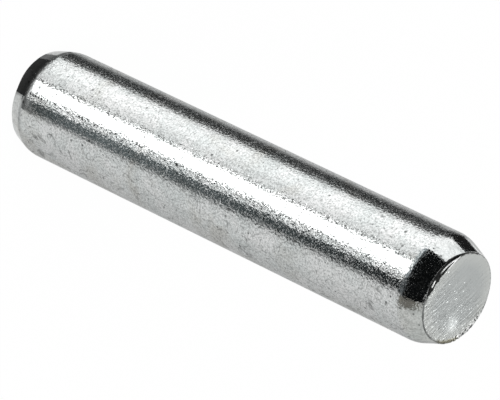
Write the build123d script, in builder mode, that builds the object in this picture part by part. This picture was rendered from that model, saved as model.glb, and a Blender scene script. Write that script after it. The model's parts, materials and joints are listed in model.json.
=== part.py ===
from build123d import *

import os
from math import cos, radians, sin

# Shelf support pin: a solid steel pin that is pushed into a shelf hole and carries the shelf on
# its bare end. It is a plain cylinder with a tapered lead-in at each end. It stands upright on
# its square seat end, with its axis on Z. Sizes are in millimetres, angles in degrees.

# Whole pin
pin_diameter = 5.0
pin_length = 25.0  # from the seat end to the highest point of the outer end

# Lead-in tapers: each one's run along the pin, and the radius that it takes off
seat_taper_length = 0.9
seat_taper_depth = 0.36
outer_taper_length = 1.14
outer_taper_depth = 0.465

# Roundings
shoulder_radius = 1.2  # where the shank runs into each taper
seat_rim_radius = 0.1
outer_rim_radius = 0.05

# The outer end was cut off a little out of square
outer_end_slope = 2.4
outer_end_heading = 196.0  # from +X round to the side that stands highest

# Worked out from the sizes above
pin_radius = pin_diameter / 2
seat_end_radius = pin_radius - seat_taper_depth
outer_end_radius = pin_radius - outer_taper_depth
heading_x = cos(radians(outer_end_heading))
heading_y = sin(radians(outer_end_heading))
lean = sin(radians(outer_end_slope))

# The outer end's plane meets the pin at its highest point and falls away across it
outer_end_plane = Plane(
    origin=(outer_end_radius * heading_x, outer_end_radius * heading_y, pin_length),
    z_dir=(-lean * heading_x, -lean * heading_y, cos(radians(outer_end_slope))),
)

with BuildPart() as support_pin:
    # Half of the lengthwise section, spun round the axis
    with BuildSketch(Plane.XZ):
        with BuildLine():
            Polyline(
                (0, 0),
                (seat_end_radius, 0),
                (pin_radius, seat_taper_length),
                (pin_radius, pin_length - outer_taper_length),
                (outer_end_radius, pin_length),
                (0, pin_length),
                close=True,
            )
        make_face()
        shoulders = vertices().group_by(Axis.X)[-1]
        fillet(shoulders, radius=shoulder_radius)
        seat_rim = vertices().group_by(Axis.Y)[0].sort_by(Axis.X)[-1]
        fillet(seat_rim, radius=seat_rim_radius)
    revolve(axis=Axis.Z)

    # The sloping cut across the outer end, with its rim barely broken
    split(bisect_by=outer_end_plane, keep=Keep.BOTTOM)
    outer_rim = faces().sort_by(Axis.Z)[-1].edges()
    fillet(outer_rim, radius=outer_rim_radius)

support_pin.part.label = "support_pin"

os.makedirs("parts", exist_ok=True)
export_step(support_pin.part, "parts/support_pin.step")
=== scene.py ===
# %% [markdown]
# # A zinc-plated shelf pin
#
# The object is one small steel pin, 5 mm thick and 25 mm long. A length of bright rod is cut off,
# both ends are rolled to a taper so that the pin finds its hole, and the whole pin is plated with
# bright zinc. It is pushed into a shelf hole, and the shelf lies on the half that stays out.
#
# A shape this plain leaves nothing to hide behind, so the work goes into three things: the exact
# outline, a skin with the small faults of real plating, and the cards that the metal mirrors.

# %% Load the frame
import json
import math

import bpy
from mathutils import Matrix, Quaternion, Vector


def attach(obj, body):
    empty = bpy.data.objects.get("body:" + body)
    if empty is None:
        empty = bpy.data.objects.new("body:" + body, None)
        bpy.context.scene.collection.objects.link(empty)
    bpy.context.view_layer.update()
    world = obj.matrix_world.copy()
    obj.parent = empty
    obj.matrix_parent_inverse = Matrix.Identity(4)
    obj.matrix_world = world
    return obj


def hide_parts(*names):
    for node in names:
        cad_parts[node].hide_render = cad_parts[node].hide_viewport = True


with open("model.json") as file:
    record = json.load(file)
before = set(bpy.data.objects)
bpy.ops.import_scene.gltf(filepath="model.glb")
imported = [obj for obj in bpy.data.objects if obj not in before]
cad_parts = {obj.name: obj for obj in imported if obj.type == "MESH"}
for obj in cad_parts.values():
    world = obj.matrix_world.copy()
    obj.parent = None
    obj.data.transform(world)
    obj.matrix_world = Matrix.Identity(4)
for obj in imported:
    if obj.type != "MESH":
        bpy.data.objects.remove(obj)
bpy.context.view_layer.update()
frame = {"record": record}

PIN = "support_pin"
MM = 0.001

# %% [markdown]
# ## Sizes
#
# The frame already knows the pin. Its mounts say how thick the straight shank is, where the outer
# end lies and which way that end leans. Reading them here keeps this model and the solid one
# together. Only the tapers and the roundings have to be written again.

# %% Read the sizes
mounts = {mount["name"]: mount for mount in frame["record"]["mounts"]}
pin_radius = mounts["shank"]["dims"]["r_mm"] * MM
outer_end = mounts["outer_end"]
end_normal = Vector(outer_end["axis"])
end_slope = math.acos(end_normal.z)

seat_taper_length, seat_taper_depth = 0.9 * MM, 0.36 * MM
outer_taper_length, outer_taper_depth = 1.14 * MM, 0.465 * MM
outer_end_radius = pin_radius - outer_taper_depth
pin_length = outer_end["pos_m"][2] + outer_end_radius * math.tan(end_slope)
print(f"pin {2 * pin_radius / MM:.2f} mm thick and {pin_length / MM:.2f} mm long,",
      f"outer end {math.degrees(end_slope):.1f} degrees out of square")

# %% [markdown]
# ## Camera
#
# The pin stands on its end, because that is how a loose pin rests. The camera looks down on it and
# is rolled over, so in the picture the pin lies on a slant with its outer end nearest. A long lens
# far away keeps the two sides of the shank almost parallel.

# %% Place the camera
camera_elevation = math.radians(37.43)
camera_roll = math.radians(115.8)
camera_distance = 227.9 * MM
aim = Vector((0.133 * MM, 0, 12.84 * MM))

towards_camera = Vector((0, -math.cos(camera_elevation), math.sin(camera_elevation)))
camera_data = bpy.data.cameras.new("camera")
camera_data.lens = 379.1
camera_data.clip_start = 5 * MM
camera = bpy.data.objects.new("camera", camera_data)
camera.rotation_mode = "QUATERNION"
camera.rotation_quaternion = (towards_camera.to_track_quat("Z", "Y")
                              @ Quaternion((0, 0, 1), camera_roll))
camera.location = aim + camera_distance * towards_camera
bpy.context.scene.collection.objects.link(camera)
bpy.context.scene.camera = camera
print(f"the camera stands {camera.location.length / MM:.0f} mm from the pin's foot")

# %% [markdown]
# ## One helper for every node tree
#
# The shape and the finishes are all node trees. One small function adds a node, changes its
# settings and fills its input sockets. A socket takes a plain value, another node's output, or
# another node, which then stands for its first output. The kinds that come up most have short
# names, and some of these bring their operation: times_plus multiplies two values and adds a
# third. A Map Range takes the value, the two ends it comes from, and the two ends it goes to,
# which are left out where they are 0 and 1.

# %% Helper: add a node
maths, vector_maths = "ShaderNodeMath", "ShaderNodeVectorMath"
map_range, noise = "ShaderNodeMapRange", "ShaderNodeTexNoise"
times, plus, minus = (maths, "MULTIPLY"), (maths, "ADD"), (maths, "SUBTRACT")
vector_times, vector_plus = (vector_maths, "MULTIPLY"), (vector_maths, "ADD")
times_plus, scaled = (maths, "MULTIPLY_ADD"), (vector_maths, "SCALE")


def fill(node, sockets):
    shown = [socket for socket in node.inputs if socket.enabled]
    for name, value in sockets.items():
        socket = shown[name] if isinstance(name, int) else next(s for s in shown if s.name == name)
        if isinstance(value, bpy.types.Node):
            value = next(output for output in value.outputs if output.enabled)
        if isinstance(value, bpy.types.NodeSocket):
            node.id_data.links.new(value, socket)
        else:
            socket.default_value = value


def add_node(tree, kind, *sockets, **settings):
    """Add a node. Its sockets are given one by one in their order, or by name in one dictionary."""
    if isinstance(kind, tuple):
        kind, settings["operation"] = kind
    node = tree.nodes.new(kind)
    for name, value in settings.items():
        setattr(node, name, value)
    by_name = sockets and isinstance(sockets[0], dict)
    fill(node, sockets[0] if by_name else dict(enumerate(sockets)))
    return node


# %% [markdown]
# ## The pin's outline
#
# A turned part is half of its section spun round the axis. A cylinder with pulled-in ends would do
# for a distant view, but a Geometry Nodes tree keeps every size open to change: six corner points,
# each worked out from the named inputs, and a Fillet Curve node that rounds shoulders and rims.

# %% Start the tree and name its inputs
tree = bpy.data.node_groups.new("turned_pin", "GeometryNodeTree")
tree.interface.new_socket("Geometry", in_out="OUTPUT", socket_type="NodeSocketGeometry")
pin_inputs = {
    "Pin radius": pin_radius,
    "Pin length": pin_length,
    "Seat end radius": pin_radius - seat_taper_depth,
    "Seat taper length": seat_taper_length,
    "Outer end radius": outer_end_radius,
    "Outer taper length": outer_taper_length,
    "Outer taper slope": outer_taper_depth / outer_taper_length,
    "Shoulder radius": 1.2 * MM,
    "Seat rim radius": 0.1 * MM,
    "Outer rim radius": 0.05 * MM,
    "Face border": 0.33 * MM,
    "Roll-over width": 0.27 * MM,
    "End climb": Vector((-end_normal.x / end_normal.z, -end_normal.y / end_normal.z, 0)),
    "Faces around": 320,
    "Seed": 7.0,
}
socket_kinds = {int: "NodeSocketInt", float: "NodeSocketFloat", Vector: "NodeSocketVector"}
input_ids = {}
for name, value in pin_inputs.items():
    socket = tree.interface.new_socket(name, in_out="INPUT", socket_type=socket_kinds[type(value)])
    input_ids[name] = socket.identifier
size = add_node(tree, "NodeGroupInput").outputs
position = add_node(tree, "GeometryNodeInputPosition")
print("the tree has", len(input_ids), "inputs")

# %% Half section with rounded corners
seat_disc_radius = add_node(tree, minus, size["Seat end radius"], size["Face border"])
outer_disc_radius = add_node(tree, minus, size["Outer end radius"], size["Face border"])
taper_start = add_node(tree, minus, size["Pin length"], size["Outer taper length"])
corners = [
    (seat_disc_radius, 0.0, 0.0),
    (size["Seat end radius"], 0.0, size["Seat rim radius"]),
    (size["Pin radius"], size["Seat taper length"], size["Shoulder radius"]),
    (size["Pin radius"], taper_start, size["Shoulder radius"]),
    (size["Outer end radius"], size["Pin length"], size["Outer rim radius"]),
    (outer_disc_radius, size["Pin length"], 0.0),
]
corner_number = add_node(tree, "GeometryNodeInputIndex")
corner_place = add_node(tree, "GeometryNodeIndexSwitch", data_type="VECTOR")
corner_rounding = add_node(tree, "GeometryNodeIndexSwitch", data_type="FLOAT")
for number in range(len(corners) - 2):
    corner_place.index_switch_items.new()
    corner_rounding.index_switch_items.new()
fill(corner_place, {"Index": corner_number})
fill(corner_rounding, {"Index": corner_number})
for number, (radius, height, rounding) in enumerate(corners):
    corner = add_node(tree, "ShaderNodeCombineXYZ", {"X": radius, "Z": height})
    fill(corner_place, {str(number): corner})
    fill(corner_rounding, {str(number): rounding})

row_of_points = add_node(tree, "GeometryNodeMeshLine", {"Count": len(corners)})
placed_points = add_node(
    tree, "GeometryNodeSetPosition", {"Geometry": row_of_points, "Position": corner_place})
sharp_outline = add_node(tree, "GeometryNodeMeshToCurve", placed_points)
steps_round_corner = 12
outline = add_node(
    tree, "GeometryNodeFilletCurve",
    {"Curve": sharp_outline, "Count": steps_round_corner, "Radius": corner_rounding}, mode="POLY")
outline_length = add_node(tree, "GeometryNodeCurveLength", outline)
print("the half section has", len(corners), "corners")

# %% [markdown]
# ## Wrapping sheets round the axis
#
# Each stretch of the outline becomes a flat grid that is rolled into a tube: across the grid is
# the turn round the axis, and up the grid is the way along the outline. Three sheets share the
# faces sensibly, because the short tapers need much closer rows than the long plain shank. The
# unrolled sheet is also the pin's UV map, laid out here while every point still knows its place.

# %% Roll three sheets
map_side = 27 * MM  # the real size that the UV map's unit square stands for
map_gap = 0.3 * MM
seat_sheet_end = 1.7 * MM
outer_sheet_length = 2.08 * MM
columns = add_node(tree, plus, size["Faces around"], 1)
outer_sheet_start = add_node(tree, minus, outline_length, outer_sheet_length)
grid_place = add_node(tree, "ShaderNodeSeparateXYZ", position).outputs
turn = add_node(tree, times_plus, grid_place["X"], 2 * math.pi, 1.5 * math.pi)
sheets = [  # (start, end, rows of points)
    (0.0, seat_sheet_end, 44),
    (seat_sheet_end, outer_sheet_start, 128),
    (outer_sheet_start, outline_length, 86),
]
parts = []
for start, end, rows in sheets:
    grid = add_node(tree, "GeometryNodeMeshGrid", {"Vertices X": columns, "Vertices Y": rows})
    along = add_node(tree, map_range, grid_place["Y"], -0.5, 0.5, start, end)
    on_outline = add_node(
        tree, "GeometryNodeSampleCurve", {"Curves": outline, "Length": along}, mode="LENGTH",
        use_all_curves=True)
    rolled = add_node(
        tree, "ShaderNodeVectorRotate", {"Vector": on_outline.outputs["Position"], "Angle": turn},
        rotation_type="Z_AXIS")
    unrolled = add_node(tree, "ShaderNodeCombineXYZ", turn, along)
    on_map = add_node(
        tree, vector_maths, unrolled, (pin_radius / map_side, 1 / map_side, 0),
        (map_gap / map_side - math.pi / 2 * pin_radius / map_side, map_gap / map_side, 0),
        operation="MULTIPLY_ADD")
    mapped = add_node(
        tree, "GeometryNodeStoreNamedAttribute", {"Geometry": grid, "Name": "OFBake", "Value": on_map},
        data_type="FLOAT2", domain="CORNER")
    parts.append(add_node(tree, "GeometryNodeSetPosition", {"Geometry": mapped, "Position": rolled}))
print(f"{len(parts)} sheets, on a UV map that stands for {map_side / MM:.0f} mm a side")

# %% [markdown]
# ## Closing the two ends
#
# A fan of long triangles would close each end, but its slivers meet in one point and take no
# relief. A square grid pressed into a disc has even faces instead. Each ring of the square becomes
# a circle: inside each quarter the tangent spreads the points evenly, so the outermost ring meets
# the rolled sheet point for point, and a merge welds the two.

# %% Press two square grids into discs
quarter_turn = math.pi / 2
columns_of_disc = add_node(tree, times_plus, size["Faces around"], 0.25, 1)
unsigned = add_node(tree, vector_maths, position, operation="ABSOLUTE")
unsigned_parts = add_node(tree, "ShaderNodeSeparateXYZ", unsigned).outputs
ring = add_node(tree, maths, unsigned_parts["X"], unsigned_parts["Y"], operation="MAXIMUM")
angle = add_node(tree, maths, grid_place["Y"], grid_place["X"], operation="ARCTAN2")
past_corner = add_node(tree, plus, angle, quarter_turn / 2)
quarter = add_node(tree, maths, past_corner, quarter_turn, operation="SNAP")
in_quarter = add_node(tree, minus, angle, quarter)
spread = add_node(tree, maths, in_quarter, operation="TANGENT")
disc_turn = add_node(tree, times_plus, spread, quarter_turn / 2, quarter)
disc_centre_on_map = 19 * MM
discs = [  # (radius, height, row on the UV map, whether it faces down)
    (seat_disc_radius, 0.0, 3 * MM, True),
    (outer_disc_radius, size["Pin length"], 8 * MM, False),
]
for disc_radius, height, row_on_map, facing_down in discs:
    grid = add_node(
        tree, "GeometryNodeMeshGrid",
        {"Size X": 2, "Size Y": 2, "Vertices X": columns_of_disc, "Vertices Y": columns_of_disc})
    out_from_centre = add_node(tree, times, ring, disc_radius)
    on_ring = add_node(tree, "ShaderNodeCombineXYZ", {"X": out_from_centre, "Z": height})
    on_disc = add_node(
        tree, "ShaderNodeVectorRotate", {"Vector": on_ring, "Angle": disc_turn}, rotation_type="Z_AXIS")
    disc = add_node(tree, "GeometryNodeSetPosition", {"Geometry": grid, "Position": on_disc})
    mirrored = -1 if facing_down else 1
    on_map = add_node(
        tree, vector_maths, position, (mirrored / map_side, 1 / map_side, 0),
        (disc_centre_on_map / map_side, row_on_map / map_side, 0), operation="MULTIPLY_ADD")
    disc = add_node(
        tree, "GeometryNodeStoreNamedAttribute", {"Geometry": disc, "Name": "OFBake", "Value": on_map},
        data_type="FLOAT2", domain="CORNER")
    if facing_down:
        disc = add_node(tree, "GeometryNodeFlipFaces", disc)
    parts.append(disc)

joined = add_node(tree, "GeometryNodeJoinGeometry")
for part in parts:
    fill(joined, {"Geometry": part})
weld_distance = 0.001 * MM
whole = add_node(tree, "GeometryNodeMergeByDistance", {"Geometry": joined, "Distance": weld_distance})
print("the pin is welded from", len(parts), "parts")

# %% [markdown]
# ## The sheared end
#
# The outer end was sheared off a little out of square. The slope is laid into the finished pin: a
# point near the end is lowered by the slope at its place, and it slides outwards along the taper
# as it goes down, so the taper keeps its angle and only its length changes round the pin.

# %% Slope the outer end
sloped_part = 0.85  # the share of the outer taper that gives way to the slope
slope_start = add_node(tree, times_plus, size["Outer taper length"], -sloped_part, size["Pin length"])
slope_full = add_node(tree, minus, size["Pin length"], size["Outer rim radius"])
share = add_node(tree, map_range, grid_place["Z"], slope_start, slope_full)
steepness = add_node(tree, vector_maths, size["End climb"], operation="LENGTH")
highest_rise = add_node(tree, times, steepness, size["Outer end radius"])
placed = position
for step in range(2):
    rise = add_node(tree, vector_maths, placed, size["End climb"], operation="DOT_PRODUCT")
    below_highest = add_node(tree, minus, rise, highest_rise)
    sink = add_node(tree, times, below_highest, share)
    if step == 0:
        slide = add_node(tree, times, sink, size["Outer taper slope"])
        slide_share = add_node(tree, maths, slide, size["Outer end radius"], operation="DIVIDE")
        widening = add_node(tree, minus, 1, slide_share)
        widening_across = add_node(tree, "ShaderNodeCombineXYZ", {"X": widening, "Y": widening, "Z": 1})
        placed = add_node(tree, vector_times, position, widening_across)
sinking = add_node(tree, "ShaderNodeCombineXYZ", {"Z": sink})
sloped = add_node(
    tree, "GeometryNodeSetPosition", {"Geometry": whole, "Position": placed, "Offset": sinking})
print(f"the slope takes up {sloped_part:.0%} of the outer taper")

# %% [markdown]
# ## Where the blade came in
#
# A blade bends the edge over before it bites. On that side the face stops short of the rim, and a
# shallow bevel falls away from it. The helper finds the side: it gives the most at one heading and
# nothing at its half width. Turning a point's heading into a cosine makes the change smooth and
# keeps the tree free of angles that jump at half a turn.

# %% Roll the edge over
def near_heading(outwards, heading, half_width, most):
    """Most at the heading, nothing at its half width and beyond."""
    facing = (math.sin(math.radians(heading)), -math.cos(math.radians(heading)), 0.0)
    owner = outwards.id_data
    towards = add_node(owner, vector_maths, outwards, facing, operation="DOT_PRODUCT")
    return add_node(
        owner, map_range, towards, math.cos(math.radians(half_width)), 1, 0, most,
        interpolation_type="SMOOTHSTEP")


roll_over_heading, roll_over_half_width = -18, 44
roll_steepness = 0.25  # how far the bevel drops for its width
flat_place = add_node(tree, vector_times, position, (1, 1, 0))
outwards = add_node(tree, vector_maths, flat_place, operation="NORMALIZE")
from_axis = add_node(tree, vector_maths, flat_place, operation="LENGTH")
up_to_cut = add_node(tree, vector_maths, Vector(outer_end["pos_m"]), position, operation="SUBTRACT")
below_cut = add_node(tree, vector_maths, up_to_cut, end_normal, operation="DOT_PRODUCT")
roll_width = near_heading(outwards, roll_over_heading, roll_over_half_width, size["Roll-over width"])
roll_start = add_node(tree, minus, size["Outer end radius"], roll_width)
roll_depth = add_node(tree, times, roll_width, roll_steepness)
rolled_down = add_node(tree, map_range, from_axis, roll_start, size["Outer end radius"], 0, roll_depth)
roll_share = add_node(tree, map_range, below_cut, 0, size["Outer taper length"], 1, 0)
rolled_down = add_node(tree, times, rolled_down, roll_share)
along_cone = add_node(tree, scaled, outwards, size["Outer taper slope"])
along_cone = add_node(tree, vector_plus, along_cone, (0, 0, -1))
rolling = add_node(tree, scaled, along_cone, rolled_down)
rolled_over = add_node(tree, "GeometryNodeSetPosition", {"Geometry": sloped, "Offset": rolling})
print(f"the bevel is up to {pin_inputs['Roll-over width'] / MM:.2f} mm wide")

# %% [markdown]
# ## Ends that are not quite round
#
# Neither end is a perfect circle. The rollers bit less on one side of the seat taper, and the
# blade pushed the outer rim out where it left the rod. Each such place is a swell: strongest at one
# heading, gone at its half width, and faded out along the pin.

# %% Swell the rims
swells = [  # (heading from the camera side, half width, lift, height where it fades out, full height)
    (-42, 48, 0.125 * MM, 1.15 * MM, 0.1 * MM),
    (85, 45, 0.050 * MM, 1.15 * MM, 0.1 * MM),
    (145, 58, 0.085 * MM, pin_length - 0.6 * MM, pin_length - 0.05 * MM),
    (150, 180, 0.020 * MM, pin_length - 1.0 * MM, pin_length - 0.1 * MM),
]
lift_share = 0.0
for heading, half_width, lift, fade_height, full_height in swells:
    round_pin = near_heading(outwards, heading, half_width, lift / pin_radius)
    along_pin = add_node(
        tree, map_range, grid_place["Z"], fade_height, full_height, interpolation_type="SMOOTHSTEP")
    lift_share = add_node(tree, times_plus, round_pin, along_pin, lift_share)
swelling = add_node(tree, scaled, flat_place, lift_share)
swollen = add_node(tree, "GeometryNodeSetPosition", {"Geometry": rolled_over, "Offset": swelling})
print(len(swells), "swells round the rims")

# %% [markdown]
# ## Relief of the skin
#
# Rolled and plated steel is never a true cylinder. Mirrors show it: straight reflections waver a
# little. Two layers of noise lift the skin along its normal by a thousandth of a millimetre or
# two, one in long waves and one in short ones. The rollers also left the outer taper slightly
# crowned. The sheared end gets fine tears that all run one way, as the blade went.

# %% Raise the relief
normal = add_node(tree, "GeometryNodeInputNormal")
normal_parts = add_node(tree, "ShaderNodeSeparateXYZ", normal).outputs
faces_along_axis = add_node(tree, maths, normal_parts["Z"], operation="ABSOLUTE")
least_on_face = 0.9  # an end face's normals point at least this far along the axis
on_face = add_node(tree, map_range, faces_along_axis, least_on_face, 1)
height = 0.0
waves = [(2.6 * MM, 0.0022 * MM), (0.45 * MM, 0.0010 * MM)]  # (length, height)
crown_height, tear_spacing, tear_depth = 0.014 * MM, 0.2 * MM, 0.006 * MM
for wave_length, wave_height in waves:
    wave = add_node(
        tree, noise, {"Vector": position, "W": size["Seed"], "Scale": 1 / wave_length, "Detail": 1},
        noise_dimensions="4D")
    centred = add_node(tree, minus, wave, 0.5)
    height = add_node(tree, times_plus, centred, wave_height, height)
along_taper = add_node(
    tree, map_range, grid_place["Z"], pin_length - outer_taper_length, pin_length, -1, 1)
crown = add_node(tree, times, along_taper, along_taper)
crown = add_node(tree, minus, 1, crown)
height = add_node(tree, times_plus, crown, crown_height, height)
shear_direction = math.radians(30)
along_shear = add_node(
    tree, "ShaderNodeVectorRotate", {"Vector": position, "Angle": shear_direction},
    rotation_type="Z_AXIS")
tear_space = add_node(tree, vector_times, along_shear, (0.06, 1, 0))
tears = add_node(
    tree, noise, {"Vector": tear_space, "W": size["Seed"], "Scale": 1 / tear_spacing, "Detail": 1},
    noise_dimensions="4D")
torn_last = add_node(tree, map_range, grid_place["X"], -1.0 * MM, 1.4 * MM, 0.12, 1)
tear_height = add_node(tree, plus, tears, -0.5)
for factor in (on_face, torn_last):
    tear_height = add_node(tree, times, tear_height, factor)
height = add_node(tree, times_plus, tear_height, tear_depth, height)
print(f"{len(waves)} layers of waves, and tears of {tear_depth / MM:.3f} mm in the end")

# %% [markdown]
# ## Burr on the cut edge
#
# The blade leaves a burr: a ridge and a notch where it came in, two thin lips that lie on the
# bevel, and a row of crumbs where the steel tore away. Ridge and lips are smooth humps, the one at
# its own depth below the cut and the others at their own distance inside the rim. They fade out
# along the edge as the swells do. The crumbs are noise that is let through at the edge only. All
# of it is added to the relief, because it too lifts the skin along its normal.

# %% Raise the burr
def distance_from(place, value):
    """How far a value is from a place, either way."""
    gap = add_node(value.id_data, minus, value, place)
    return add_node(value.id_data, maths, gap, operation="ABSOLUTE")


burrs = [  # (heading, half width, depth below the cut, ridge width, ridge height)
    (11, 7, 0.03 * MM, 0.06 * MM, 0.012 * MM),
    (17, 4, 0.05 * MM, 0.08 * MM, -0.030 * MM),
]
burr_height = 0.0
for heading, half_width, depth, ridge_width, ridge_height in burrs:
    ridge = add_node(
        tree, map_range, distance_from(depth, below_cut), 0, ridge_width, 1, 0,
        interpolation_type="SMOOTHSTEP")
    along_edge = near_heading(outwards, heading, half_width, ridge_height)
    burr_height = add_node(tree, times_plus, ridge, along_edge, burr_height)
curls = [  # (heading, half width, distance inside the rim): the lips on the bevel
    (-36, 21, 0.12 * MM),
    (-1, 6, 0.09 * MM),
]
curl_width, curl_height = 0.045 * MM, 0.010 * MM
for heading, half_width, inside in curls:
    curl = add_node(
        tree, map_range, distance_from(outer_end_radius - inside, from_axis), 0, curl_width, 1, 0,
        interpolation_type="SMOOTHSTEP")
    curl = add_node(tree, times, curl, roll_share)
    along_edge = near_heading(outwards, heading, half_width, curl_height)
    height = add_node(tree, times_plus, curl, along_edge, height)
crumb_size = 0.13 * MM
crumbs = add_node(
    tree, noise, {"Vector": position, "W": size["Seed"], "Scale": 1 / crumb_size, "Detail": 1},
    noise_dimensions="4D")
crumb_height = add_node(tree, map_range, crumbs, 0.42, 0.65, -0.008 * MM, 0.016 * MM)
at_edge = add_node(tree, map_range, below_cut, 0.03 * MM, 0.14 * MM, 1, 0)
torn_part = near_heading(outwards, 135, 48, 1.0)
crumb_share = add_node(tree, times, at_edge, torn_part)
burr_height = add_node(tree, times_plus, crumb_height, crumb_share, burr_height)
off_face = add_node(tree, minus, 1, on_face)
height = add_node(tree, times_plus, burr_height, off_face, height)
lift = add_node(tree, scaled, normal, height)
raised = add_node(tree, "GeometryNodeSetPosition", {"Geometry": swollen, "Offset": lift})
print(len(burrs), "burrs and", len(curls), "lips on the cut edge")

# %% [markdown]
# ## Colours
#
# Node colours are linear light, while a colour picker shows sRGB. The first function turns the one
# into the other, so every colour below can be written as the hex value that a picker would show.
# The second starts a material with an empty node tree.

# %% Helpers: hex to linear colour, and an empty material
def linear(hex_value):
    channels = [int(hex_value[place:place + 2], 16) / 255 for place in (1, 3, 5)]
    channels = [c / 12.92 if c <= 0.04045 else ((c + 0.055) / 1.055) ** 2.4 for c in channels]
    return (*channels, 1.0)


def empty_material(name):
    material = bpy.data.materials.new(name)
    material.use_nodes = True
    material.node_tree.nodes.clear()
    return material


print(f"the grey #808080 is {linear('#808080')[0]:.3f} in linear light")

# %% [markdown]
# ## Bright zinc plate
#
# The skin is zinc laid on in a tumbling barrel and passivated clear. It is a true mirror with a
# fault every tenth of a millimetre: tiny crystals and knocks from the other pins tilt it a few
# degrees here and there. That is why edges in its reflections break up into specks, while the
# flat tones stay calm. The tapers were pressed smooth by the rollers and keep sharper mirrors.

# %% Plating material: where the skin is rough
plating = empty_material("bright_zinc_plate")
skin = plating.node_tree
place = add_node(skin, "ShaderNodeTexCoord").outputs["Object"]

# on the shank 1, on the smooth tapers 0
place_parts = add_node(skin, "ShaderNodeSeparateXYZ", place).outputs
above_seat = add_node(skin, map_range, place_parts["Z"], seat_taper_length, seat_taper_length + 0.4 * MM)
below_end = add_node(skin, map_range, place_parts["Z"], pin_length - 0.70 * MM, pin_length - 1.15 * MM)
on_shank = add_node(skin, times, above_seat, below_end)
print("the plating starts with", len(skin.nodes), "nodes")

# %% [markdown]
# ## Colour of the plate
#
# Zinc is a slightly blue grey. Clear passivation leaves clouds of a cooler and a warmer grey, about
# a millimetre across, and every crystal catches a little more or less light than the next one.
# Handling adds dark pits, one to a Voronoi cell, and the rollers left faint streaks on the tapers.

# %% Plating material: colour
clouds = add_node(skin, noise, {"Vector": place, "Scale": 1 / (1.5 * MM), "Detail": 3, "Roughness": 0.6})
cloud_share = add_node(skin, map_range, clouds, 0.35, 0.68)
zinc_colour = add_node(
    skin, "ShaderNodeMix", cloud_share, linear("#FBFDFC"), linear("#E6EBEA"), data_type="RGBA")
smudges = add_node(
    skin, noise,
    {"Vector": place, "Scale": 1 / (2.3 * MM), "Detail": 2, "Roughness": 0.55, "Distortion": 0.6})
warm_side = add_node(skin, map_range, place_parts["X"], 1.2 * MM, 2.5 * MM, 0, 0.12)
smudge_level = add_node(skin, plus, smudges, warm_side)
smudge_share = add_node(skin, map_range, smudge_level, 0.56, 0.74)
zinc_colour = add_node(
    skin, "ShaderNodeMix", smudge_share, zinc_colour, linear("#E2E3DF"), data_type="RGBA")
grain = add_node(skin, noise, {"Vector": place, "Scale": 1 / (0.09 * MM), "Detail": 2, "Roughness": 0.8})
darkest_grain = add_node(skin, map_range, on_shank, 0, 1, 0.74, 0.48)
brightness = add_node(skin, map_range, grain, 0.30, 0.60, darkest_grain, 1.1)
pit_cells = add_node(skin, "ShaderNodeTexVoronoi", {"Vector": place, "Scale": 1 / (0.3 * MM)})
pit_draw = add_node(skin, "ShaderNodeSeparateColor", pit_cells.outputs["Color"]).outputs
pit_width = add_node(skin, map_range, pit_draw["Red"], 0.4, 1, 0, 0.26)
pit_edge = add_node(skin, minus, pit_cells.outputs["Distance"], pit_width)
pit_share = add_node(skin, map_range, pit_edge, -0.08, 0.03, 0.35, 1)
brightness = add_node(skin, times, brightness, pit_share)
streak_space = add_node(skin, vector_times, place, (1, 1, 0.3))
streaks = add_node(
    skin, noise, {"Vector": streak_space, "Scale": 1 / (0.25 * MM), "Detail": 3, "Roughness": 0.6})
streak_depth = add_node(skin, map_range, on_shank, 0, 1, 0.72, 1)
streak_share = add_node(skin, map_range, streaks, 0.46, 0.68, 1, streak_depth)
brightness = add_node(skin, times, brightness, streak_share)
print("colour, pits and streaks:", len(skin.nodes), "nodes so far")

# %% [markdown]
# ## Scratches
#
# Handling leaves fine curved scratches, most of them near the seat end. They are rings round the
# centres of Voronoi cells, bent by one noise and broken by another, so no two look alike and none
# runs on for long.

# %% Plating material: scratches
near_seat = add_node(skin, map_range, place_parts["Z"], 1.5 * MM, 5.0 * MM, 2, 1)
handled_side = add_node(skin, map_range, place_parts["X"], 0.3 * MM, 1.5 * MM, 0.4, 1.2)
handling = add_node(skin, times, on_shank, near_seat)
handling = add_node(skin, times, handling, handled_side)
bend = add_node(skin, noise, {"Vector": place, "Scale": 1 / (1.1 * MM), "Detail": 1})
bend = add_node(skin, vector_maths, bend.outputs["Color"], (0.5, 0.5, 0.5), operation="SUBTRACT")
bend = add_node(skin, scaled, bend, 1.6 * MM)
bent_place = add_node(skin, vector_plus, place, bend)
scratches = [  # (spacing, line width, darkest tone, seed)
    (2.0 * MM, 0.022 * MM, 0.56, 3.0),
    (1.1 * MM, 0.018 * MM, 0.62, 8.0),
    (0.7 * MM, 0.018 * MM, 0.66, 5.0),
]
for spacing, line_width, darkest, seed in scratches:
    rings = add_node(
        skin, "ShaderNodeTexVoronoi", {"Vector": bent_place, "W": seed, "Scale": 1 / spacing},
        voronoi_dimensions="4D")
    ring_draw = add_node(skin, "ShaderNodeSeparateColor", rings.outputs["Color"]).outputs
    ring_radius = add_node(skin, map_range, ring_draw["Red"], 0, 1, 0.3, 0.75)
    gaps = add_node(
        skin, noise, {"Vector": place, "W": seed, "Scale": 1 / (0.7 * MM), "Detail": 2},
        noise_dimensions="4D")
    widest = add_node(skin, times, handling, line_width / spacing)
    width_here = add_node(skin, map_range, gaps, 0.44, 0.58, -0.02, widest)
    beside = add_node(skin, minus, distance_from(ring_radius, rings.outputs["Distance"]), width_here)
    line = add_node(skin, map_range, beside, -0.008, 0.010, darkest, 1)
    brightness = add_node(skin, times, brightness, line)
skin_colour = add_node(skin, scaled, zinc_colour, brightness)
print(len(scratches), "sizes of scratches")

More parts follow.
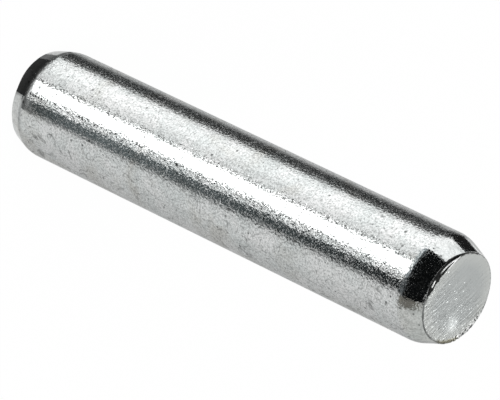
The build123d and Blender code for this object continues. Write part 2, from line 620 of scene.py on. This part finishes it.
# %% [markdown]
# ## Relief and gloss of the plate
#
# Two bumps are stacked. Fine crystals tilt the mirror everywhere. Knocks are rounder and rarer:
# one small dent or nodule in every cell of a Voronoi pattern, deep in one cell and hardly there
# in the next. Some crystals are dull, and blur what they mirror into a middle grey, which puts
# light specks into the dark bands and dark specks into the light ones.

# %% Plating material: relief and gloss
crystal_size = 0.11 * MM  # on a real pin they are finer, but these still show in the render
crystal_relief, knock_relief = 0.0115 * MM, 0.012 * MM
crystals = add_node(skin, noise, {"Vector": place, "Scale": 1 / crystal_size, "Detail": 1})
crystal_depth = add_node(skin, map_range, on_shank, 0, 1, 0.33, 1)
crystal_height = add_node(skin, times, crystals, crystal_depth)
crystal_bump = add_node(skin, "ShaderNodeBump", {"Distance": crystal_relief, "Height": crystal_height})
cells = add_node(skin, "ShaderNodeTexVoronoi", {"Vector": place, "Scale": 1 / (0.2 * MM)})
from_centre = add_node(
    skin, map_range, cells.outputs["Distance"], 0, 0.38, 1, 0, interpolation_type="SMOOTHSTEP")
cell_draw = add_node(skin, "ShaderNodeSeparateColor", cells.outputs["Color"]).outputs
knock_size = add_node(skin, maths, cell_draw["Red"], 3, operation="POWER")
knock_height = add_node(skin, times, from_centre, knock_size)
knock_height = add_node(skin, times, knock_height, crystal_depth)
knock_bump = add_node(
    skin, "ShaderNodeBump", {"Distance": knock_relief, "Height": knock_height, "Normal": crystal_bump})
dull_crystals = add_node(skin, noise, {"Vector": place, "Scale": 1 / (0.07 * MM), "Detail": 1})
dullness = add_node(skin, map_range, dull_crystals, 0.48, 0.6, 0, 0.28)
dull_share = add_node(skin, map_range, on_shank, 0, 1, 0.42, 1)
dullness = add_node(skin, times, dullness, dull_share)
zinc_roughness = add_node(skin, times_plus, cloud_share, 0.03, dullness)
zinc_roughness = add_node(skin, plus, zinc_roughness, 0.035)
zinc = add_node(
    skin, "ShaderNodeBsdfPrincipled",
    {"Base Color": skin_colour, "Metallic": 1, "Roughness": zinc_roughness, "Normal": knock_bump})
add_node(skin, "ShaderNodeOutputMaterial", zinc)
print("the plating has", len(skin.nodes), "nodes")

# %% [markdown]
# ## Sheared and plated end
#
# Under the same zinc the ends are torn steel, not rolled steel. The blade leaves fine scores that
# all run one way, so the face is satin: it shows light and dark but no picture. Where the blade
# came in the face is burnished smooth, and where the steel broke it is rougher.

# %% End material: scores
sheared = empty_material("sheared_zinc_end")
cut = sheared.node_tree
place = add_node(cut, "ShaderNodeTexCoord").outputs["Object"]
place_parts = add_node(cut, "ShaderNodeSeparateXYZ", place).outputs
patches = add_node(cut, noise, {"Vector": place, "Scale": 1 / (0.9 * MM), "Detail": 2})
broken_place = add_node(cut, times_plus, patches, 2.2 * MM, place_parts["X"])
broken = add_node(cut, map_range, broken_place, -0.2 * MM, 1.8 * MM)

# a shallow dip where the steel tore last: it leans towards the light
dip_centre = (1.15 * MM, 0.6 * MM, pin_length)
to_dip = add_node(cut, vector_maths, place, dip_centre, operation="DISTANCE")
dip_distance = add_node(cut, times_plus, patches, 0.7 * MM, to_dip)
dip = add_node(cut, map_range, dip_distance, 0.42 * MM, 0.98 * MM, 1, 0, interpolation_type="SMOOTHSTEP")
calm_scores = add_node(cut, map_range, dip, 0, 1, 1, 0.4)

along_scores = add_node(
    cut, "ShaderNodeVectorRotate", {"Vector": place, "Angle": shear_direction}, rotation_type="Z_AXIS")
score_space = add_node(cut, vector_times, along_scores, (0.07, 1, 0))
scores = add_node(
    cut, noise, {"Vector": score_space, "Scale": 1 / (0.09 * MM), "Detail": 2, "Roughness": 0.6})
score_depth = add_node(cut, map_range, broken, 0, 1, 0.12, 1)
score_depth = add_node(cut, times, score_depth, calm_scores)
score_height = add_node(cut, times, scores, score_depth)
score_relief = 0.020 * MM
score_bump = add_node(cut, "ShaderNodeBump", {"Distance": score_relief, "Height": score_height})
print(f"scores {score_relief / MM:.2f} mm deep")

# %% [markdown]
# ## Flashing grains
#
# Broken steel is a field of grains. Each Voronoi cell tilts the face a little in a direction of
# its own, and a few tilt just so far that they catch the lamp and flash.

# %% End material: flashing grains
grain_size = 0.036 * MM  # longer along the scores: the real ones are finer, but these still show
grain_space = add_node(cut, vector_times, along_scores, (0.6, 1, 0))
grains = add_node(cut, "ShaderNodeTexVoronoi", {"Vector": grain_space, "Scale": 1 / grain_size})
grain_draw = add_node(cut, "ShaderNodeSeparateColor", grains.outputs["Color"]).outputs
rarely = add_node(cut, times_plus, broken, 0.10, grain_draw["Blue"])
flash = add_node(cut, map_range, rarely, 1.012, 1.022)
tilted = add_node(cut, vector_maths, grains.outputs["Color"], (0.5, 0.5, 0.5), operation="SUBTRACT")
tilt_size = add_node(cut, map_range, broken, 0, 1, 0.04, 0.24)
flash_lean = add_node(cut, map_range, grain_draw["Red"], 0, 1, 0, 0.85)
flash_lean = add_node(cut, times, flash_lean, flash)
leaning = add_node(cut, scaled, (0.02, -0.21, 0), flash_lean)
calm = add_node(cut, map_range, dip, 0, 1, 1, 0.08)
tilt_size = add_node(cut, times, tilt_size, calm)
tilted = add_node(cut, scaled, tilted, tilt_size)
tilted = add_node(cut, vector_plus, tilted, leaning)
dip_lean = add_node(cut, scaled, (0.02, -0.15, 0), dip)
tilted = add_node(cut, vector_plus, tilted, dip_lean)
grain_normal = add_node(cut, vector_plus, score_bump, tilted)
grain_normal = add_node(cut, vector_maths, grain_normal, operation="NORMALIZE")
end_roughness = add_node(cut, map_range, flash, 0, 1, 0.36, 0.2)
print(f"grains of {grain_size / MM:.3f} mm")

# %% [markdown]
# ## The cut edge
#
# The edge gets a thin dark line of painted shade, and the bevel beside it a painted black
# reflection. Its lips are burnished, and their shine is painted in as bright lines. Where the
# steel tore away, the edge is a row of darker grains and painted glints instead.

# %% End material: edge lines
flat_end = add_node(cut, vector_times, place, (1, 1, 0))
from_axis = add_node(cut, vector_maths, flat_end, operation="LENGTH")
end_outwards = add_node(cut, vector_maths, flat_end, operation="NORMALIZE")
rolled_side = near_heading(end_outwards, roll_over_heading, roll_over_half_width, 1.0)
to_edge = add_node(cut, times_plus, rolled_side, pin_inputs["Roll-over width"], from_axis)
# painted shade: the dark line along the rim is darkest and widest on this side
shaded_edge_side = near_heading(end_outwards, -68, 40, 1.0)
torn_edge = near_heading(end_outwards, 150, 34, 1.0)
edge_noise = add_node(cut, noise, {"Vector": place, "Scale": 1 / (0.16 * MM), "Detail": 2})
edge_place = add_node(cut, times_plus, edge_noise, 0.16 * MM, to_edge)
edge_place = add_node(cut, times_plus, shaded_edge_side, 0.07 * MM, edge_place)
# painted shade: a thin dark line along the rim
painted_edge_shade = add_node(cut, map_range, shaded_edge_side, 0, 0.6, 0.42, 0.10)
# painted reflection: the bevel's colour is cut almost to black, as if it mirrored black
painted_bevel_reflection = add_node(cut, map_range, rolled_side, 0, 0.3, 1, 0.05)
painted_edge_shade = add_node(cut, times, painted_edge_shade, painted_bevel_reflection)
# the painted light and shade of the edge, as a factor on the face's colour
painted_edge_light_and_shade = add_node(
    cut, map_range, edge_place, outer_end_radius + 0.06 * MM, outer_end_radius + 0.11 * MM, 1, painted_edge_shade)

# painted glints: grains along the torn edge are made darker or brighter, the bright ones past the zinc's
# own colour
edge_grains = add_node(cut, noise, {"Vector": place, "Scale": 1 / (0.10 * MM), "Detail": 1})
dark_grain_and_painted_glint_tone = add_node(cut, map_range, edge_grains, 0.42, 0.58, 0.12, 1.6)
in_torn_edge = add_node(
    cut, map_range, edge_place, outer_end_radius - 0.03 * MM, outer_end_radius + 0.02 * MM, 0, 1.4)
in_torn_edge = add_node(cut, times, in_torn_edge, torn_edge, use_clamp=True)
painted_edge_light_and_shade = add_node(cut, "ShaderNodeMix", in_torn_edge, painted_edge_light_and_shade, dark_grain_and_painted_glint_tone, data_type="FLOAT")
# painted highlights: bright lines along the edge, one on the lip where the bevel starts and one on each lip
painted_highlight_lines = [(to_edge, outer_end_radius, -42, 14)]  # the burnished lip where the bevel starts
painted_highlight_lines += [(from_axis, outer_end_radius - inside, heading, half_width)
                 for heading, half_width, inside in curls]
# each painted highlight lifts the colour up to 2.6 times
for distance, line_place, heading, half_width in painted_highlight_lines:
    in_painted_highlight = add_node(cut, map_range, distance_from(line_place, distance), 0.02 * MM, 0.045 * MM, 1.6, 0)
    painted_edge_light_and_shade = add_node(
        cut, times_plus, in_painted_highlight, near_heading(end_outwards, heading, half_width, 1.0), painted_edge_light_and_shade)
# none of this belongs on the seat end, which was rolled and not torn
at_outer_end = add_node(cut, maths, place_parts["Z"], pin_length / 2, operation="GREATER_THAN")
painted_edge_light_and_shade = add_node(cut, "ShaderNodeMix", at_outer_end, 1, painted_edge_light_and_shade, data_type="FLOAT")
print(len(painted_highlight_lines), "bright lines along the edge")

# %% [markdown]
# ## Colour of the ends
#
# The scores and the grains also differ in tone, far more where the steel broke than where it was
# burnished. One spot of the rim carries a brown stain, which is laid over the zinc's own grey.

# %% End material: colour
score_swing = add_node(cut, map_range, scores, 0.3, 0.7, -1, 1)
grain_swing = add_node(cut, map_range, grain_draw["Green"], 0, 1, -1.3, 0.7)
swing = add_node(cut, times_plus, score_swing, 1.6, grain_swing)
dark_grains = add_node(cut, map_range, grain_draw["Green"], 0.03, 0.05, -2.6, 0)
swing = add_node(cut, plus, swing, dark_grains)
swing_size = add_node(cut, map_range, broken, 0, 1, 0.025, 0.165)
swing_size = add_node(cut, times, swing_size, calm_scores)
end_tone = add_node(cut, times_plus, swing, swing_size, 0.97)
# the edge's painted shade, reflection, glints and highlights go into the colour here
end_tone = add_node(cut, times, end_tone, painted_edge_light_and_shade)
stained_part = near_heading(end_outwards, 113, 24, 1.0)
at_rim = add_node(cut, map_range, edge_place, outer_end_radius, outer_end_radius + 0.09 * MM, 0, 0.8)
stain = add_node(cut, times, stained_part, at_rim)
stain = add_node(cut, times, stain, at_outer_end)
near_rim = add_node(cut, map_range, edge_place, outer_end_radius - 0.6 * MM, outer_end_radius - 0.05 * MM)
end_colour = add_node(
    cut, "ShaderNodeMix", near_rim, linear("#CFD3D2"), linear("#DEE1DE"), data_type="RGBA")
end_colour = add_node(cut, "ShaderNodeMix", stain, end_colour, linear("#C0BA9C"), data_type="RGBA")
end_colour = add_node(cut, scaled, end_colour, end_tone)
end_zinc = add_node(
    cut, "ShaderNodeBsdfPrincipled",
    {"Base Color": end_colour, "Metallic": 1, "Roughness": end_roughness, "Normal": grain_normal})
add_node(cut, "ShaderNodeOutputMaterial", end_zinc)
print("the end finish has", len(cut.nodes), "nodes")

# %% [markdown]
# ## From tree to mesh
#
# The last nodes smooth the shading and give each face its finish: faces that look along the axis
# are the sheared ends. The tree is then run once, and its result is kept as a plain mesh, which
# any other program can read.

# %% Finish the tree
shaded = add_node(tree, "GeometryNodeSetShadeSmooth", raised)
realised = add_node(tree, "GeometryNodeRealizeInstances", shaded)
plated = add_node(tree, "GeometryNodeSetMaterial", {"Geometry": realised, "Material": plating})
is_end = add_node(
    tree, "FunctionNodeCompare", faces_along_axis, least_on_face, data_type="FLOAT",
    operation="GREATER_THAN")
finished = add_node(
    tree, "GeometryNodeSetMaterial", {"Geometry": plated, "Selection": is_end, "Material": sheared})
add_node(tree, "NodeGroupOutput", finished)
print("the tree holds", len(tree.nodes), "nodes")

# %% Make the mesh
pin = bpy.data.objects.new("plated_pin", bpy.data.meshes.new("plated_pin"))
bpy.context.scene.collection.objects.link(pin)
modifier = pin.modifiers.new("turned pin", "NODES")
modifier.node_group = tree
for name, value in pin_inputs.items():
    modifier[input_ids[name]] = value
depsgraph = bpy.context.evaluated_depsgraph_get()
pin_mesh = bpy.data.meshes.new_from_object(pin.evaluated_get(depsgraph),
                                           preserve_all_data_layers=True, depsgraph=depsgraph)
pin_mesh.materials.pop(index=0)  # the grids bring one empty slot with them
pin.modifiers.clear()
pin.data = pin_mesh
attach(pin, "root")
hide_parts(PIN)
triangles = sum(len(face.vertices) - 2 for face in pin_mesh.polygons)
print(f"{triangles} triangles, materials {list(pin_mesh.materials)}")

# %% [markdown]
# ## Floor and world
#
# The pin stands on a white floor that runs out to a white world. Both glow at strength 1 for the
# camera and for mirror rays, and fall back to ordinary light for everything else, so the floor
# stays white without more light on the pin, and still takes a faint shadow.

# %% White floor and world
def share_of_white(tree, most):
    rays = add_node(tree, "ShaderNodeLightPath").outputs
    seen = add_node(tree, plus, rays["Is Camera Ray"], rays["Is Glossy Ray"])
    seen = add_node(tree, plus, seen, rays["Is Transmission Ray"], use_clamp=True)
    return add_node(tree, times, seen, most)


floor_material = empty_material("white_floor")
floor_material.cycles.emission_sampling = "NONE"
floor_tree = floor_material.node_tree
lit_floor = add_node(floor_tree, "ShaderNodeBsdfDiffuse", {"Color": linear("#F8F8F8")})
glowing_floor = add_node(floor_tree, "ShaderNodeEmission", {"Color": linear("#FFFFFF"), "Strength": 1})
floor_mix = add_node(
    floor_tree, "ShaderNodeMixShader", share_of_white(floor_tree, 0.97), lit_floor, glowing_floor)
add_node(floor_tree, "ShaderNodeOutputMaterial", floor_mix)

floor_reach = 4.0
floor_mesh = bpy.data.meshes.new("floor")
floor_mesh.from_pydata([(-floor_reach, -floor_reach, 0), (floor_reach, -floor_reach, 0),
                        (floor_reach, floor_reach, 0), (-floor_reach, floor_reach, 0)],
                       [], [(0, 1, 2, 3)])
floor_mesh.materials.append(floor_material)
floor = bpy.data.objects.new("floor", floor_mesh)
bpy.context.scene.collection.objects.link(floor)

world = bpy.data.worlds.new("white_room")
world.use_nodes = True
world_tree = world.node_tree
world_tree.nodes.clear()
room_light = add_node(world_tree, "ShaderNodeBackground", {"Color": linear("#FFFFFF"), "Strength": 0.45})
white_room = add_node(world_tree, "ShaderNodeBackground", {"Color": linear("#FFFFFF"), "Strength": 1})
world_mix = add_node(
    world_tree, "ShaderNodeMixShader", share_of_white(world_tree, 1.0), room_light, white_room)
add_node(world_tree, "ShaderNodeOutputWorld", world_mix)
bpy.context.scene.world = world
bpy.context.scene.view_settings.view_transform = "Standard"
print(f"a floor of {2 * floor_reach:.0f} by {2 * floor_reach:.0f} m in a white room")

# %% [markdown]
# ## Lamps
#
# One large soft lamp behind the camera lights the scene at a plain level. Because it stands in
# line with the camera, the pin hides its own shadow. A small one on the far side rakes the
# sheared face, so its scores and grains flash.

# %% Place the lamps
def add_lamp(name, azimuth, elevation, distance, width, radiance):
    lamp_data = bpy.data.lights.new(name, "AREA")
    lamp_data.shape = "SQUARE"
    lamp_data.size = width
    lamp_data.energy = radiance * math.pi * width ** 2
    lamp = bpy.data.objects.new(name, lamp_data)
    direction = Vector((math.sin(azimuth) * math.cos(elevation),
                        -math.cos(azimuth) * math.cos(elevation), math.sin(elevation)))
    lamp.location = direction * distance
    lamp.rotation_mode = "QUATERNION"
    lamp.rotation_quaternion = direction.to_track_quat("Z", "Y")
    bpy.context.scene.collection.objects.link(lamp)
    print(f"{name}: {lamp_data.energy:.2f} W")


add_lamp("key_lamp", 0, math.radians(58), 0.6, 0.6, 2.6)
add_lamp("rake_lamp", math.radians(170), math.radians(60), 0.5, 0.12, 3.0)

# %% [markdown]
# ## Cards for the mirror
#
# Polished metal has no look of its own: it shows the room. A photographer lays white, grey and
# black cards round such a thing until the mirrors please. The shank stands upright and is seen
# from above, so it mirrors the floor around its foot. Here each card is cut to the strip of floor
# that a chosen part of the shank looks at, found by bouncing a line of sight off the shank. Only
# mirror rays see the cards.

# %% Helpers: cut a card
card_material = empty_material("card")
card_material.cycles.emission_sampling = "NONE"
card_tree = card_material.node_tree
card_tone = add_node(card_tree, "ShaderNodeAttribute", attribute_name="tone").outputs["Color"]
card_glow = add_node(card_tree, "ShaderNodeEmission", {"Color": card_tone, "Strength": 1})
add_node(card_tree, "ShaderNodeOutputMaterial", card_glow)


def between(start, end, share):
    return start + (end - start) * share


def add_card(name, rows, tint="#FFFFFF"):
    """A card through rows of (place, tone) pairs."""
    wide = len(rows[0])
    corner_steps = (0, 1, wide + 1, wide)
    faces = [[row * wide + step + corner for corner in corner_steps]
             for row in range(len(rows) - 1) for step in range(wide - 1)]
    mesh = bpy.data.meshes.new(name)
    mesh.from_pydata([place for row in rows for place, tone in row], [], faces)
    tones = mesh.attributes.new("tone", "FLOAT_COLOR", "POINT")
    red, green, blue, full = linear(tint)
    tones.data.foreach_set("color", [part for row in rows for place, tone in row
                                     for part in (red * tone, green * tone, blue * tone, full)])
    mesh.materials.append(card_material)
    card = bpy.data.objects.new(name, mesh)
    card.visible_camera = False
    card.visible_diffuse = False
    card.visible_shadow = False
    card.visible_transmission = False
    bpy.context.scene.collection.objects.link(card)


def add_strip(name, start, end, spacing, place_at, rows, tint="#FFFFFF"):
    """A card from one turn to another, in degrees, with points at about this spacing.

    Rows are (height, first tone, last tone), and place_at gives the place for a turn and a height.
    """
    steps = max(2, round((end - start) / spacing))
    shares = [step / steps for step in range(steps + 1)]
    add_card(name, [[(place_at(between(start, end, share), height), between(first, last, share))
                     for share in shares] for height, first, last in rows], tint)


def direction_at(turn):
    """The level direction at this turn, in degrees from the camera side."""
    return Vector((math.sin(math.radians(turn)), -math.cos(math.radians(turn)), 0))


def seen_on_floor(turn, height, lean=0.0, radius=pin_radius):
    """The floor that the skin shows where it faces this turn and leans down by these degrees."""
    outwards = direction_at(turn)
    normal = outwards * math.cos(math.radians(lean)) - Vector((0, 0, math.sin(math.radians(lean))))
    on_skin = outwards * radius + Vector((0, 0, height))
    sight = (on_skin - camera.location).normalized().reflect(normal)
    return on_skin + sight * ((card_lift - height) / sight.z)


# %% Cards on the floor
card_lift = 0.03 * MM
heights = [height * MM for height in (0.04, 0.7, 1.5, 3, 6, 12, 25, 50, 100)]
blue_black = "#F0FAFF"  # black velvet shows a little blue beside white card
floor_cards = [  # (name, first turn, last turn, first tone, last tone)
    ("far_left_glow", -88, -78, 0.66, 0.45),
    ("far_left_grey", -78, -72, 0.57, 0.46),
    ("far_left_edge", -72, -66, 0.37, 0.07),
    ("left_flag", -66, -56, 0.038, 0.04),
    ("left_flag_edge", -56, -49, 0.045, 0.12),
    ("white_sheet_rise", -49, -40, 0.92, 1.18),
    ("white_sheet", -40, -28, 1.20, 1.11),
    ("white_sheet_fall", -28, -15.5, 0.98, 0.80),
    ("thin_line", -15.5, -12.5, 0.12, 0.12),
    ("key_strip", -12.5, 1.2, 2.2, 2.2),
    ("dark_gap", 1.2, 4.4, 0.03, 0.03),
    ("thin_strip", 4.4, 7.5, 1.2, 1.2),
    ("right_flag", 7.5, 18.8, 0.070, 0.070),
    ("right_flag_edge", 18.8, 23.5, 0.15, 0.60),
    ("grey_sheet_near", 23.5, 44, 0.695, 0.64),
    ("grey_sheet", 44, 80, 0.585, 0.44),
    ("grey_sheet_far", 80, 88, 0.44, 0.76),
]
flag_tints = {"left_flag": "#FAFDFF", "dark_gap": blue_black, "right_flag": "#EAF9FD"}
# the right flag shows lighter in the middle of the pin than towards its two ends
flag_fades = {"right_flag": (0.5, 0.6, 1.2, 1.5, 2.0, 1.4, 0.1, 0.1, 0.1)}
for name, start, end, first_tone, last_tone in floor_cards:
    fades = flag_fades.get(name, [1.0] * len(heights))
    rows = [(height, first_tone * fade, last_tone * fade) for height, fade in zip(heights, fades)]
    add_strip(name, start, end, 2, seen_on_floor, rows, flag_tints.get(name, "#FFFFFF"))
print(len(floor_cards), "cards on the floor")

# %% [markdown]
# ## Cards round the foot
#
# The tapers lean out of the upright, so they look elsewhere. The lower one looks straight down at
# the floor beside the foot, where a ring of small cards answers it.

# %% Cards round the foot
foot_cards = [  # (name, first turn, last turn, first tone, last tone)
    ("foot_left", -100, -52, 0.70, 0.63),
    ("foot_left_edge", -52, -41, 0.20, 0.10),
    ("foot_flag", -41, 8, 0.038, 0.038),
    ("foot_flag_edge", 8, 12, 0.3, 0.55),
    ("foot_right", 12, 44, 0.64, 0.66),
    ("foot_far_right", 44, 120, 0.64, 0.90),
]
ring_edges = (1.6 * MM, 2.52 * MM)


def beside_foot(turn, distance):
    return direction_at(turn) * distance + Vector((0, 0, 1.3 * card_lift))


for name, start, end, first_tone, last_tone in foot_cards:
    rows = [(distance, first_tone, last_tone) for distance in ring_edges]
    add_strip(name, start, end, 3, beside_foot, rows)
print(len(foot_cards), "cards round the foot")

# %% [markdown]
# ## Cards for the lower shoulder
#
# Between the foot taper and the straight shank the skin bends, and for each height it looks at
# another ring of floor. These cards are given by the patch of shoulder that should show them, from
# one turn to another and from one height to another.

# %% Cards for the lower shoulder
seat_lean = math.degrees(math.atan2(seat_taper_depth, seat_taper_length))
shoulder_half = pin_inputs["Shoulder radius"] * math.tan(math.radians(seat_lean / 2))


def smooth(share):
    share = min(max(share, 0.0), 1.0)
    return share * share * (3 - 2 * share)


def swell_at(turn, height):
    """How far the swells lift the skin here."""
    total = 0.0
    for heading, half_width, lift, fade_height, full_height in swells:
        least = math.cos(math.radians(half_width))
        nearness = (math.cos(math.radians(turn - heading)) - least) / (1 - least)
        total += lift * smooth(nearness) * smooth((height - fade_height) / (full_height - fade_height))
    return total


def skin_at(turn, height):
    """How far the skin near the seat end leans down, in degrees, and how far it is from the axis."""
    bend = (seat_taper_length + shoulder_half - height) / (2 * shoulder_half)
    narrowing = seat_taper_depth * max(0.0, 1 - height / seat_taper_length)
    step = 0.01 * MM
    swell_slope = (swell_at(turn, height) - swell_at(turn, height + step)) / step
    lean = seat_lean * min(max(bend, 0.0), 1.0) - math.degrees(math.atan(swell_slope))
    return lean, pin_radius - narrowing + swell_at(turn, height)


shoulder_cards = [  # (name, first turn, last turn, rows of height in mm and tone)
    ("shoulder_fade", -40, 8, ((0.10, 0.034), (0.35, 0.030), (0.60, 0.022), (0.80, 0.024),
                               (0.90, 0.06), (0.98, 0.22), (1.05, 0.6), (1.10, 0.95))),
    ("shoulder_wedge", -51, -40, ((0.10, 0.17), (0.60, 0.14), (0.80, 0.10), (0.94, 0.10), (1.02, 0.40))),
    ("shoulder_line_left", -70, -51, ((0.10, 0.62), (0.72, 0.60), (0.82, 0.14), (0.94, 0.12), (1.00, 0.5))),
    ("shoulder_line_right", 12, 48, ((0.68, 0.58), (0.76, 0.42), (0.84, 0.42), (0.94, 0.60))),
    ("right_flag_foot", 7.6, 21, ((0.78, 0.45), (0.88, 0.12), (1.02, 0.12), (1.18, 0.25), (1.40, 0.10))),
]
for number, (name, start, end, rows) in enumerate(shoulder_cards):
    raised_by = Vector((0, 0, (0.4 + 0.1 * number) * card_lift))
    add_strip(name, start, end, (end - start) / 12,
              lambda turn, height: seen_on_floor(turn, height, *skin_at(turn, height)) + raised_by,
              [(height * MM, tone, tone) for height, tone in rows])
print(len(shoulder_cards), "cards for the lower shoulder")

# %% [markdown]
# ## Standing cards
#
# The upper taper looks out level, so black, white and grey cards stand round it at a hand's
# breadth. The end face looks up at a grey ceiling, with a black flag in it for the bevel.

# %% Standing cards
card_distance = 60 * MM


def standing_at(turn, height, distance=card_distance):
    return direction_at(turn) * distance + Vector((0, 0, height * MM))


standing_cards = [  # (name, first turn, last turn, rows of height in mm, first and last tone, tint)
    ("left_white", -107, -57, ((14, 1.04, 1.04), (34, 1.04, 1.04)), "#FFFFFF"),
    ("front_flag", -57, 8, ((4, 0.75, 0.5), (10, 0.42, 0.28), (18, 0.10, 0.08), (25, 0.004, 0.004),
                            (80, 0.004, 0.004)), blue_black),
    ("front_flag_right", 8, 44, ((0.05, 0.13, 0.13), (12, 0.08, 0.10), (22, 0.004, 0.004),
                                 (80, 0.004, 0.004)), blue_black),
    ("front_flag_high", -72, 44, ((80, 0.02, 0.02), (200, 0.02, 0.02)), "#FFFFFF"),
]
for start, end, top in ((44, 51, 32.5), (51, 57, 31.5), (57, 62, 29.5)):
    standing_cards += [
        (f"brown_flag_{start}", start, end, ((0.05, 0.25, 0.25), (top, 0.15, 0.15)), "#F4EEE2"),
        (f"grey_flag_{start}", start, end, ((top, 0.53, 0.53), (38, 0.55, 0.55)), "#FFFEFA"),
    ]
standing_cards += [
    ("left_back_flag", -142, -107, ((0.05, 0.012, 0.012), (28, 0.012, 0.012)), "#FFFFFF"),
    ("right_wall", 62, 165, ((0.05, 0.51, 0.49), (38, 0.565, 0.53)), "#FFFFFC"),
    ("rim_flag_right", 44, 140, ((38, 0.20, 0.14), (170, 0.20, 0.14)), "#FFFFFF"),
    ("rim_flag_left", -140, -57, ((34, 0.05, 0.05), (170, 0.05, 0.05)), "#FFFFFF"),
    ("back_low_flag", 150, 160, ((0.05, 0.05, 0.05), (38, 0.05, 0.05)), "#FFFFFF"),
    ("back_low_sheet", 160, 215, ((0.05, 0.7, 0.9), (38, 0.7, 0.9)), "#FFFFFF"),
]
for name, start, end, rows, tint in standing_cards:
    add_strip(name, start, end, 4, standing_at, rows, tint)
add_strip("back_wall", 140, 220, 4, lambda turn, height: standing_at(turn, height, 0.98 * card_distance),
          ((38, 0.55, 0.55), (100, 0.55, 0.55)))
ceilings = [  # (name, half width, front, back, height, tone), all but the tone in mm
    ("ceiling", 90, -90, 90, 205, 0.45),
    ("ceiling_flag", 38, -62, -4, 203, 0.03),
]
for name, half_width, front, back, height, tone in ceilings:
    add_card(name, [[((side * half_width * MM, row * MM, height * MM), tone) for side in (-1, 1)]
                    for row in (front, back)])
print(len(standing_cards) + 1, "standing cards and", len(ceilings), "overhead")
